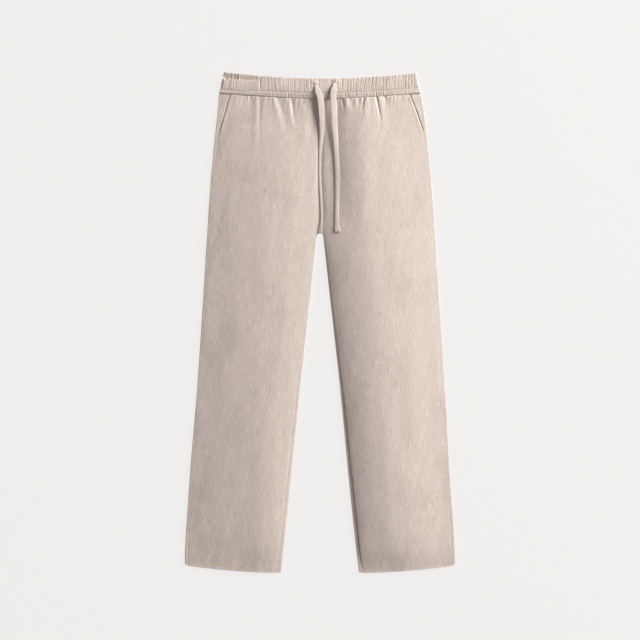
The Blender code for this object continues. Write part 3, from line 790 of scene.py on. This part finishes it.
def make_waistband(sizes):
    """A closed section, two skins joined by the fold along the top, carried round a flattened ring.
    The section stands 0 to 1 up from the waist seam, and its outer skin carries the gathers."""
    front = np.linspace(-1, 1, BAND_COLUMNS + 1)
    back = np.linspace(1, -1, BAND_BACK_COLUMNS + 1)
    turn = np.linspace(0, math.pi, BAND_ARC + 1)[1:-1]
    share = np.concatenate([front, 0 * turn + 1, back, 0 * turn - 1])
    angle = np.concatenate([0 * front, turn, 0 * back + math.pi, math.pi + turn])
    normal_x = np.sign(np.sin(angle)) * np.abs(np.sin(angle)) ** BAND_PRESSED
    normal_z = np.sign(np.cos(angle)) * np.abs(np.cos(angle)) ** BAND_PRESSED
    is_front = (normal_z + 1) / 2
    fold = np.linspace(0, math.pi, BAND_FOLD + 2)[1:-1]
    rise = 1 - BAND_WALL / 2 / BAND_HEIGHT
    up = np.concatenate([
        np.linspace(0, rise, BAND_UP),
        rise + (1 - rise) * np.sin(fold),
        np.linspace(rise, 0, BAND_INSIDE),
    ])
    depth = np.concatenate([
        np.zeros(BAND_UP), BAND_WALL / 2 * (1 - np.cos(fold)), np.full(BAND_INSIDE, BAND_WALL)
    ])
    up, depth = up[:, None], depth[:, None]
    half_width = np.interp(up, (0, BAND_CHANNEL / BAND_HEIGHT, 1), BAND_HALF_WIDTHS)
    x = share * (half_width - BAND_RADIUS) + normal_x * BAND_RADIUS
    relief = band_relief(x, up, is_front, sizes)
    outer_skin = 1 - depth / BAND_WALL
    inner_ruffle = INSIDE_RUFFLE * puckers(x, up + 1, sizes.gather_pitch * 0.5, 61, 2.5)
    inner_ruffle = inner_ruffle * ease(up, 0.3, 0.6)
    # The back's outer skin rests on the surface, so it only dips away from it.
    out = np.where(normal_z < -0.5, relief - sizes.gather_height * 1.15, relief)
    out = outer_skin * np.minimum(out, np.where(normal_z < -0.5, 0, 1)) - depth
    out += (1 - outer_skin) * inner_ruffle
    x = share * (half_width - BAND_RADIUS) + normal_x * (BAND_RADIUS + out)
    z = BAND_RADIUS + normal_z * (BAND_RADIUS + out)
    seam = waist_seam_y(x) + SEAM_GAP
    back_top = three_point(BAND_BACK_TOP, share)
    # At the left end the front's top edge lies lower, and the back's inside shows above it.
    front_top = three_point(BAND_FRONT_TOP, share) + FRONT_TOP_STEP * ease(share, -0.68, -0.52)
    front_top = np.minimum(front_top, back_top + 0.0010 * ease(share, -0.2, 1.0))
    top = is_front * front_top + (1 - is_front) * back_top
    calm = bell(share + 0.78, 0.15) * is_front
    ruffle = TOP_RUFFLE * puckers(x, 1 + 0 * x, sizes.gather_pitch * 0.86, 44, 3.0)
    top = top + (ruffle + 0.0005) * (1 - calm)
    y = seam + up * (top - seam)
    # The front stands up off the back over the middle of the ring.
    swell = 0.55 + 0.45 * np.sin(math.pi * up**0.8)
    swell = BAND_RISE_AT_SEAM + (swell - BAND_RISE_AT_SEAM) * ease(up, 0.0, 0.25)
    crown = BAND_RISE * (1 - np.abs(share) ** 1.6) * swell
    z += crown * is_front
    z += buttonhole_lips(x, y) * is_front * outer_skin
    z += slit_troughs(x, y) * is_front * outer_skin
    # The back's top leans up off the surface, where it shows above the front.
    z += BACK_TOP_LEAN * ease(up, 0.70, 1.0) * (1 - is_front) * bell(share + 0.8, 0.5)
    points = np.stack([x, y, np.maximum(z, 0)], axis=-1)
    # The section runs down the grid's columns, so both directions close.
    points = np.concatenate([points, points[:1]], axis=0)
    along = np.cumsum(np.r_[0, np.hypot(np.diff(x[0]), np.diff(z[0]))])
    around = np.cumsum(np.r_[0, np.hypot(np.diff(points[:, 0, 1]), np.diff(points[:, 0, 2]))])
    along = np.append(along, along[-1] + 0.001)
    uv = np.stack(np.broadcast_arrays(along[None], around[:, None]), axis=-1)
    obj = make_surface("waistband_linen", points, uv, closed=True)
    weld(obj)
    row = int(np.argmin(np.abs(up[:BAND_UP, 0] - BAND_CHANNEL / BAND_HEIGHT)))
    line = points[row]
    climb = points[row + 1] - points[row - 1]
    along_line = np.gradient(line, axis=0)
    normals = np.cross(along_line, climb)
    normals /= np.linalg.norm(normals, axis=1)[:, None]
    return obj, line, normals


def weld(obj):
    """Joins the points that lie on each other, where a grid closes on itself."""
    build = bmesh.new()
    build.from_mesh(obj.data)
    bmesh.ops.remove_doubles(build, verts=build.verts, dist=1e-7)
    bmesh.ops.recalc_face_normals(build, faces=build.faces)
    build.to_mesh(obj.data)
    build.free()


def slit_troughs(x, y):
    """Each slit is a bell across its line, cut off softly at its head and foot."""
    total = 0
    for slit in SLITS:
        along = (slit.head_y - y) / (slit.head_y - slit.foot_y)
        line = slit.head_x + (slit.foot_x - slit.head_x) * along
        width = slit.half_width * (0.35 + 0.65 * np.clip(along, 0, 1))
        total = total + slit.height * bell(x - line, width) * ease(along, -0.05, 0.12)
    return total


def buttonhole_lips(x, y):
    """The gathered cloth stands up round each slit that a tape comes out of."""
    total = 0
    for point in (LEFT_TAPE[0], RIGHT_TAPE[0]):
        over = bell(x - point.x, 0.0060) * ease(y, point.y - 0.0030, point.y)
        total = total + LIP_HEIGHT * over * (1 - ease(y, point.y + 0.002, point.y + 0.008))
    return total


def tape_path(route):
    """The route's points and leans on one smooth curve."""
    places = np.linspace(0, len(route) - 1, (len(route) - 1) * TAPE_STEPS + 1)
    samples = smooth_through(np.array(route), places)
    return samples[:, :3], np.radians(samples[:, 3])


def make_tape(name, route, curl, narrowing, sizes):
    """A flat section with slightly raised edges, carried along the route and turned by its lean. It
    starts bunched in its slit, and lower down it curls. With w half its width, b the curl's half angle
    and s the place across it, from -1 to 1, a point lies at w s (1 - (b s)^2 / 6) across and
    w b (1/3 - s^2) / 2 up, so a curl below 0 makes a shallow gutter and one above 0 a low arch. Its
    last stretch is folded over and stitched down, so it is thicker and a little wider."""
    path, lean = tape_path(route)
    gone = np.r_[0, np.cumsum(np.linalg.norm(np.diff(path, axis=0), axis=1))]
    curled = ease(gone, *TAPE_CURLS)
    path[:, 2] -= 0.0016 * (1 - ease(gone, 0.0, 0.012))
    gone = np.r_[0, np.cumsum(np.linalg.norm(np.diff(path, axis=0), axis=1))]
    run = np.gradient(path, axis=0)
    run /= np.linalg.norm(run, axis=1)[:, None]
    flat = -np.cross(run, (0, 0, 1))
    flat /= np.linalg.norm(flat, axis=1)[:, None]
    rise = np.cross(run, flat)
    wide = flat * np.cos(lean)[:, None] - rise * np.sin(lean)[:, None]
    thick = rise * np.cos(lean)[:, None] + flat * np.sin(lean)[:, None]
    left = gone[-1] - gone
    tip = 1 - ease(left, sizes.tape_tip - 0.0015, sizes.tape_tip + 0.0005)
    stitch = bell(left - sizes.tape_tip + 0.003, 0.0008)
    # The section runs this way round so that the tape's faces point out.
    turn = -np.linspace(0, 2 * math.pi, TAPE_ROUND, endpoint=False)
    across = np.sign(np.cos(turn)) * np.abs(np.cos(turn)) ** 0.75
    up = np.sign(np.sin(turn)) * np.abs(np.sin(turn)) ** 0.45
    hollow = 1 - 0.28 * bell(across, 0.55) + 0.10 * bell(np.abs(across) - 0.8, 0.12)
    bunched = 0.22 + 0.78 * ease(gone, *TAPE_OPENS)
    uneven = 1 + 0.03 * wander(gone, 0 * gone, 0.012, 1, 71) + 0.05 * tip
    narrowed = 1 - narrowing * ease(gone, *TAPE_NARROWS) * (1 - TAPE_TIP_OPENS * tip)
    half_width = (sizes.tape_width / 2 * uneven * bunched * narrowed)[:, None]
    thinner = 0.88 - 0.28 * curled + 0.30 * tip - 0.25 * stitch
    half_thick = (sizes.tape_thickness / 2 * thinner)[:, None]
    waver = 0.12 * wander(gone, 0 * gone, 0.030, 1, 73)
    bend = (0.16 * (1 - curled) + (curl + waver) * (1 - 0.7 * tip) * curled)[:, None]
    skin = half_thick * up * hollow
    aside = half_width * across * (1 - (bend * across) ** 2 / 6) + skin * np.sin(bend * across)
    above = half_width * bend * (1 / 3 - across**2) / 2 + skin * np.cos(bend * across)
    points = path[:, None] + wide[:, None] * aside[..., None] + thick[:, None] * above[..., None]
    around = np.r_[0, np.cumsum(np.linalg.norm(np.diff(points[-1], axis=0), axis=1))]
    around = np.append(around, around[-1] + 0.001)
    uv = np.stack(np.broadcast_arrays(around[None], gone[:, None]), axis=-1)
    obj = make_surface(name, points, uv, closed=True, capped=True)
    return obj, path, float(gone[-1])


# ---------------------------------------------------------------------------------------------
# Stitches: a short rounded stitch, repeated along a line of points


def stitch_row(line, normals, length, gap, radius):
    """Stitches along a line: each is a low hump whose section is a flat oval, from end to end."""
    steps = np.r_[0, np.cumsum(np.linalg.norm(np.diff(line, axis=0), axis=1))]
    starts = np.arange(gap, steps[-1] - length, length + gap)
    stations = np.linspace(0, 1, 5)
    at = (starts[:, None] + stations * length).ravel()
    centre = np.stack([np.interp(at, steps, line[:, i]) for i in range(3)], axis=1)
    normal = np.stack([np.interp(at, steps, normals[:, i]) for i in range(3)], axis=1)
    centre = centre.reshape(len(starts), 5, 3)
    normal = normal.reshape(len(starts), 5, 3)
    run = centre[:, -1:] - centre[:, :1]
    run = run / np.linalg.norm(run, axis=-1, keepdims=True)
    beside = np.cross(normal, run)
    turn = np.linspace(0, 2 * math.pi, 6, endpoint=False)
    swell = np.array([0.25, 0.85, 1.0, 0.85, 0.25])[None, :, None, None] * radius
    centre = centre + normal * radius * np.array([-0.4, 0.3, 0.6, 0.3, -0.4])[None, :, None]
    ring = np.cos(turn)[:, None] * beside[:, :, None] + 0.7 * np.sin(turn)[:, None] * normal[:, :, None]
    return centre[:, :, None] + swell * ring


def make_stitches(name, rows):
    """One mesh of all the stitches of these rows, each a capped tube of five rings of six points."""
    points = np.concatenate(rows)
    count = len(points)
    base = (np.arange(count) * 30)[:, None, None]
    ring = np.arange(6)
    following = (ring + 1) % 6
    start = np.arange(4)[:, None] * 6
    quads = np.stack([start + ring, start + 6 + ring, start + 6 + following, start + following], axis=-1)
    quads = (base[..., None] + quads[None]).reshape(-1, 4).tolist()
    first = (base[:, 0] + ring).tolist()
    last = (base[:, 0] + 24 + ring[::-1]).tolist()
    mesh = bpy.data.meshes.new(name)
    mesh.from_pydata(points.reshape(-1, 3).tolist(), [], quads + first + last)
    mesh.shade_smooth()
    obj = bpy.data.objects.new(name, mesh)
    bpy.context.scene.collection.objects.link(obj)
    weld(obj)
    return obj


# ---------------------------------------------------------------------------------------------
# Materials


class Wire:
    """A socket with arithmetic: an expression on wires adds its Math nodes."""

    def __init__(self, graph, socket):
        self.graph, self.socket = graph, socket

    def math(self, operation, *others):
        return self.graph.add("ShaderNodeMath", {"operation": operation}, self, *others)

    def __add__(self, other):
        return self.math("ADD", other)

    def __sub__(self, other):
        return self.math("SUBTRACT", other)

    def __rsub__(self, other):
        return self.graph.add("ShaderNodeMath", {"operation": "SUBTRACT"}, other, self)

    def __mul__(self, other):
        return self.math("MULTIPLY", other)

    def __truediv__(self, other):
        return self.math("DIVIDE", other)

    __radd__ = __add__
    __rmul__ = __mul__

    def sine(self):
        return self.math("SINE")

    def absolute(self):
        return self.math("ABSOLUTE")

    def between(self, low, high):
        """0 up to low and 1 from high."""
        settings = {"interpolation_type": "SMOOTHSTEP", "clamp": True}
        return self.graph.add("ShaderNodeMapRange", settings, self, low, high, 0.0, 1.0)


class Graph:
    """A material's nodes. add makes one from its type, its settings and its sockets' values or wires."""

    def __init__(self, material):
        self.tree = material.node_tree

    def add(self, kind, settings=None, *values, output=0, **named):
        node = self.tree.nodes.new(kind)
        for key, value in (settings or {}).items():
            setattr(node, key, value)
        for socket, value in [*zip(node.inputs, values), *((node.inputs[k], v) for k, v in named.items())]:
            if isinstance(value, Wire):
                self.tree.links.new(value.socket, socket)
            else:
                socket.default_value = value
        return Wire(self, node.outputs[output])

    def mix(self, share, first, second):
        """A colour between two others."""
        node = self.tree.nodes.new("ShaderNodeMix")
        node.data_type = "RGBA"
        for index, value in ((0, share), (6, first), (7, second)):
            if isinstance(value, Wire):
                self.tree.links.new(value.socket, node.inputs[index])
            else:
                node.inputs[index].default_value = value if index == 0 else (*value[:3], 1.0)
        return Wire(self, node.outputs[2])

    def noise(self, across, along, seed, detail=1.0, roughness=0.5):
        """Soft noise, at a place that the two wires give."""
        place = self.add("ShaderNodeCombineXYZ", None, across, along, seed)
        return self.add(
            "ShaderNodeTexNoise",
            {"noise_dimensions": "3D"},
            Vector=place, Scale=1.0, Detail=detail, Roughness=roughness,
        )


def new_material(name):
    """A material, with its graph and its main shader."""
    material = bpy.data.materials.new(name)
    material.use_nodes = True
    return material, Graph(material), material.node_tree.nodes["Principled BSDF"]


def linen_material(name, base, light, dark, pitch, fleck, bump):
    """Undyed linen: a plain weave of warp and weft threads, each a little lighter or darker than the
    next, with long slubs down the warp and short ones across, and pale and dark flecks. The hollows
    between the threads are drawn darker, which is painted shade."""
    material, graph, shader = new_material(name)
    place = graph.add("ShaderNodeUVMap", {"uv_map": "cloth"})
    u = graph.add("ShaderNodeSeparateXYZ", None, place, output=0)
    v = graph.add("ShaderNodeSeparateXYZ", None, place, output=1)
    waver = graph.noise(u * 90.0, v * 90.0, 3.0) * (0.9 * pitch)
    warp = ((u + waver) * (math.pi / pitch)).sine()
    weft = ((v + waver) * (math.pi / pitch / 0.94)).sine()
    over = (warp * weft * 3.0).between(-1.0, 1.0)
    weave = warp.absolute() * over + weft.absolute() * (1.0 - over)
    warp_slub, weft_slub, threads, streaks, cloud = (
        graph.noise(u * row.across, v * row.along, row.seed, row.detail) for row in THREAD_NOISES
    )
    pale = warp_slub.between(0.56, 0.76) * 0.85 + weft_slub.between(0.62, 0.78) * 0.30
    deep = warp_slub.between(0.44, 0.26) * 0.48 + weft_slub.between(0.36, 0.22) * 0.26
    pale = pale + threads.between(0.55, 0.80) * 0.36 + streaks.between(0.50, 0.72) * 0.26
    deep = deep + threads.between(0.45, 0.20) * 0.32 + streaks.between(0.50, 0.28) * 0.22
    # Painted shade: where the weave is low, between the threads, the colour goes darker.
    deep = deep + (1.0 - weave) * 0.20
    deep = deep + cloud.between(0.55, 0.30) * 0.22
    colour = graph.mix((pale * fleck).between(0.0, 1.4), base, light)
    colour = graph.mix((deep * fleck).between(0.0, 1.4), colour, dark)
    height = weave + warp_slub * 1.6 + weft_slub * 0.8
    normal = graph.add(
        "ShaderNodeBump", None, Strength=bump, Distance=0.00035, Height=height
    )
    graph.tree.links.new(colour.socket, shader.inputs["Base Color"])
    graph.tree.links.new(normal.socket, shader.inputs["Normal"])
    roughness = 0.94 - pale * 0.05
    graph.tree.links.new(roughness.socket, shader.inputs["Roughness"])
    shader.inputs["Specular IOR Level"].default_value = 0.25
    shader.inputs["Sheen Weight"].default_value = 0.12
    shader.inputs["Sheen Roughness"].default_value = 0.55
    return material


def thread_material(colour):
    """Sewing thread: a fine twist along X and Y, whose grooves are drawn as darker bands of painted shade.
    """
    material, graph, shader = new_material("sewing_thread")
    place = graph.add("ShaderNodeTexCoord", output=3)
    x = graph.add("ShaderNodeSeparateXYZ", None, place, output=0)
    y = graph.add("ShaderNodeSeparateXYZ", None, place, output=1)
    # Painted shade: the bands at 0.72 of the thread's colour stand for the shade in the twist's grooves.
    twist = ((x * 1.0 + y * 0.8) * 9000.0).sine() * 0.5 + 0.5
    dark = tuple(0.72 * c for c in colour)
    shade = graph.mix(twist, dark, colour)
    graph.tree.links.new(shade.socket, shader.inputs["Base Color"])
    shader.inputs["Roughness"].default_value = 0.75
    return material


def floor_material(colour, glow):
    """A plain pale surface, lifted a little by its own light so that it stays even."""
    material, _, shader = new_material("pale_floor")
    shader.inputs["Base Color"].default_value = (*(0.06 * c for c in colour), 1.0)
    shader.inputs["Roughness"].default_value = 0.95
    shader.inputs["Specular IOR Level"].default_value = 0.0
    shader.inputs["Emission Color"].default_value = (*colour, 1.0)
    shader.inputs["Emission Strength"].default_value = glow
    return material


# ---------------------------------------------------------------------------------------------
# The add-on


class TrousersSizes(bpy.types.PropertyGroup):
    cloth: bpy.props.FloatProperty(
        name="Cloth", description="Wall of a panel", default=0.0008, min=0.0003, unit="LENGTH"
    )
    pocket_slit: bpy.props.FloatProperty(
        name="Pocket slit", description="Depth of the gap along a pocket mouth", default=0.0020,
        min=0.0, unit="LENGTH",
    )
    crease_strength: bpy.props.FloatProperty(
        name="Creases", description="How deep the creases are", default=1.0, min=0.0
    )
    gather_pitch: bpy.props.FloatProperty(
        name="Gather pitch", description="Mean distance between the waistband's gathers",
        default=0.0092, min=0.003, unit="LENGTH",
    )
    gather_height: bpy.props.FloatProperty(
        name="Gather height", description="How far a gather stands out", default=0.0014,
        min=0.0, unit="LENGTH",
    )
    hem_depth: bpy.props.FloatProperty(
        name="Hem depth", description="Height of the turned-up hem", default=0.028, unit="LENGTH"
    )
    tape_width: bpy.props.FloatProperty(
        name="Tape width", description="Width of the flat drawstring", default=0.013,
        unit="LENGTH",
    )
    tape_thickness: bpy.props.FloatProperty(
        name="Tape thickness", description="Thickness of the flat drawstring", default=0.0018,
        unit="LENGTH",
    )
    left_curl: bpy.props.FloatProperty(
        name="Left tape's curl", description="Half the angle that the tape curls through lower down",
        default=0.45, subtype="ANGLE",
    )
    right_curl: bpy.props.FloatProperty(
        name="Right tape's curl", description="Half the angle that the tape curls through lower down",
        default=0.18, subtype="ANGLE",
    )
    tape_tip: bpy.props.FloatProperty(
        name="Tape tip", description="Length of the tape's folded, stitched end", default=0.014,
        unit="LENGTH",
    )
    stitch: bpy.props.FloatProperty(
        name="Stitch", description="Length of one stitch", default=0.0024, unit="LENGTH"
    )


class TrousersColours(bpy.types.PropertyGroup):
    linen: bpy.props.FloatVectorProperty(
        name="Linen", description="The cloth's main colour", subtype="COLOR",
        default=(0.690, 0.586, 0.526), min=0, max=1,
    )
    pale: bpy.props.FloatVectorProperty(
        name="Pale slubs", description="The palest threads", subtype="COLOR",
        default=(0.900, 0.815, 0.760), min=0, max=1,
    )
    deep: bpy.props.FloatVectorProperty(
        name="Dark slubs", description="The darkest threads", subtype="COLOR",
        default=(0.420, 0.350, 0.305), min=0, max=1,
    )
    tape: bpy.props.FloatVectorProperty(
        name="Tape", description="The drawstring's colour", subtype="COLOR",
        default=(0.680, 0.596, 0.542), min=0, max=1,
    )
    thread: bpy.props.FloatVectorProperty(
        name="Thread", description="The sewing thread's colour", subtype="COLOR",
        default=(0.480, 0.400, 0.345), min=0, max=1,
    )
    floor: bpy.props.FloatVectorProperty(
        name="Floor", description="The surface the trousers lie on", subtype="COLOR",
        default=(0.985, 0.968, 0.950), min=0, max=1,
    )


def sizes_of(context):
    """The sizes that the panel shows."""
    return context.scene.trousers_sizes


def colours_of(context):
    """The colours that the panel shows."""
    return context.scene.trousers_colours


def body_linen(context):
    """The one linen that all the panels share, made the first time it is asked for."""
    found = bpy.data.materials.get("melange_linen")
    if found:
        return found
    colours = colours_of(context)
    return linen_material(
        "melange_linen", tuple(colours.linen), tuple(colours.pale), tuple(colours.deep),
        pitch=0.00062, fleck=1.15, bump=0.42,
    )


def finish_piece(obj, material, node):
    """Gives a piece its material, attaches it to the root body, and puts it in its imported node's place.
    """
    obj.data.materials.append(material)
    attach(obj, "root")
    if node:
        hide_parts(node)


class TROUSERS_OT_stage(bpy.types.Operator):
    """Make the camera, the floor and the lights"""

    bl_idname = "trousers.stage"
    bl_label = "Stage"

    def execute(self, context):
        scene = context.scene
        lo, hi = CAD_BOX
        middle = (lo + hi) / 2
        camera = bpy.data.cameras.new("camera")
        camera.lens = 100.0
        camera.sensor_width = 36.0
        distance = VIEW_WIDTH * camera.lens / camera.sensor_width
        obj = bpy.data.objects.new("camera", camera)
        obj.location = (middle.x, middle.y + VIEW_RISE, hi.z / 3 + distance)
        scene.collection.objects.link(obj)
        scene.camera = obj
        scene.view_settings.view_transform = "Standard"
        self.make_floor(context)
        self.make_light("key", (3.8, 2.2, 1.52), (2.7, 2.2), 455.0, (1.0, 0.99, 0.985))
        world = bpy.data.worlds.new("soft_room")
        world.use_nodes = True
        background = world.node_tree.nodes["Background"]
        background.inputs["Color"].default_value = (1.0, 0.99, 0.975, 1.0)
        background.inputs["Strength"].default_value = 0.27
        scene.world = world
        return {"FINISHED"}

    def make_floor(self, context):
        half = 6.0
        z = -0.0004
        mesh = bpy.data.meshes.new("floor")
        corners = [(-half, -half, z), (half, -half, z), (half, half, z), (-half, half, z)]
        mesh.from_pydata(corners, [], [(0, 1, 2, 3)])
        mesh.materials.append(floor_material(tuple(colours_of(context).floor), 0.84))
        obj = bpy.data.objects.new("floor", mesh)
        context.scene.collection.objects.link(obj)

    def make_light(self, name, place, size, power, colour):
        light = bpy.data.lights.new(name, "AREA")
        light.shape = "RECTANGLE"
        light.size, light.size_y = size
        light.energy = power
        light.color = colour
        obj = bpy.data.objects.new(name, light)
        obj.location = place
        aim = Vector((0.0, 0.05, 0.0)) - Vector(place)
        obj.rotation_euler = aim.to_track_quat("-Z", "Y").to_euler()
        bpy.context.scene.collection.objects.link(obj)


class TROUSERS_OT_drawstring(bpy.types.Operator):
    """Make the two free ends of the drawstring"""

    bl_idname = "trousers.drawstring"
    bl_label = "Drawstring"

    def execute(self, context):
        sizes, colours = sizes_of(context), colours_of(context)
        tape = tuple(colours.tape)
        material = linen_material(
            "tape_linen", tape, tuple(min(1.0, 1.08 * c) for c in tape),
            tuple(0.80 * c for c in tape), pitch=0.00050, fleck=0.7, bump=0.45,
        )
        ends = (
            ("left", LEFT_TAPE, sizes.left_curl),
            ("right", RIGHT_TAPE, sizes.right_curl),
        )
        for word, route, curl in ends:
            name, narrowing = f"drawstring_{word}_tape", TAPE_NARROWING[word]
            obj, path, length = make_tape(name, route, curl, narrowing, sizes)
            finish_piece(obj, material, f"drawstring_{word}")
        return {"FINISHED"}


class TROUSERS_OT_panels(bpy.types.Operator):
    """Make the fronts, the backs and the pocket facings"""

    bl_idname = "trousers.panels"
    bl_label = "Panels"

    def execute(self, context):
        sizes = sizes_of(context)
        linen = body_linen(context)
        half = Half()
        for side, word in ((-1, "left"), (1, "right")):
            back = make_back(half, side, sizes)
            finish_piece(back, linen, f"back_{word}")
            facing = make_facing(half, side, sizes)
            finish_piece(facing, linen, f"pocket_facing_{word}")
            front = make_front(half, side, sizes)
            finish_piece(front, linen, f"front_{word}")
        return {"FINISHED"}


class TROUSERS_OT_waistband(bpy.types.Operator):
    """Make the gathered waistband"""

    bl_idname = "trousers.waistband"
    bl_label = "Waistband"

    def execute(self, context):
        sizes, colours = sizes_of(context), colours_of(context)
        band, line, normals = make_waistband(sizes)
        finish_piece(band, body_linen(context), "waistband")
        rows = stitch_row(line, normals, sizes.stitch, 0.0011, 0.00028)
        stitches = make_stitches("waistband_stitching", [rows])
        finish_piece(stitches, thread_material(tuple(colours.thread)), None)
        return {"FINISHED"}


class TROUSERS_PT_pieces(bpy.types.Panel):
    """The trousers' pieces, in the order they are made"""

    bl_idname = "TROUSERS_PT_pieces"
    bl_label = "Linen trousers"
    bl_space_type = "VIEW_3D"
    bl_region_type = "UI"
    bl_category = "Trousers"

    def draw(self, context):
        for operator in OPERATORS:
            self.layout.operator(operator.bl_idname)
        for group in (sizes_of(context), colours_of(context)):
            for name in group.__annotations__:
                self.layout.prop(group, name)


OPERATORS = (
    TROUSERS_OT_stage,
    TROUSERS_OT_drawstring,
    TROUSERS_OT_panels,
    TROUSERS_OT_waistband,
)
CLASSES = (TrousersSizes, TrousersColours, *OPERATORS, TROUSERS_PT_pieces)


def register():
    for cls in CLASSES:
        bpy.utils.register_class(cls)
    bpy.types.Scene.trousers_sizes = bpy.props.PointerProperty(type=TrousersSizes)
    bpy.types.Scene.trousers_colours = bpy.props.PointerProperty(type=TrousersColours)


def unregister():
    del bpy.types.Scene.trousers_colours
    del bpy.types.Scene.trousers_sizes
    for cls in reversed(CLASSES):
        bpy.utils.unregister_class(cls)


def corners(box):
    """A box's two corners as plain lists."""
    return [[float(value) for value in corner] for corner in box]


def main():
    """Makes everything, the camera and the cords first."""
    register()
    bpy.ops.trousers.stage()
    bpy.ops.trousers.drawstring()
    bpy.ops.trousers.panels()
    bpy.ops.trousers.waistband()


if __name__ == "__main__":
    main()
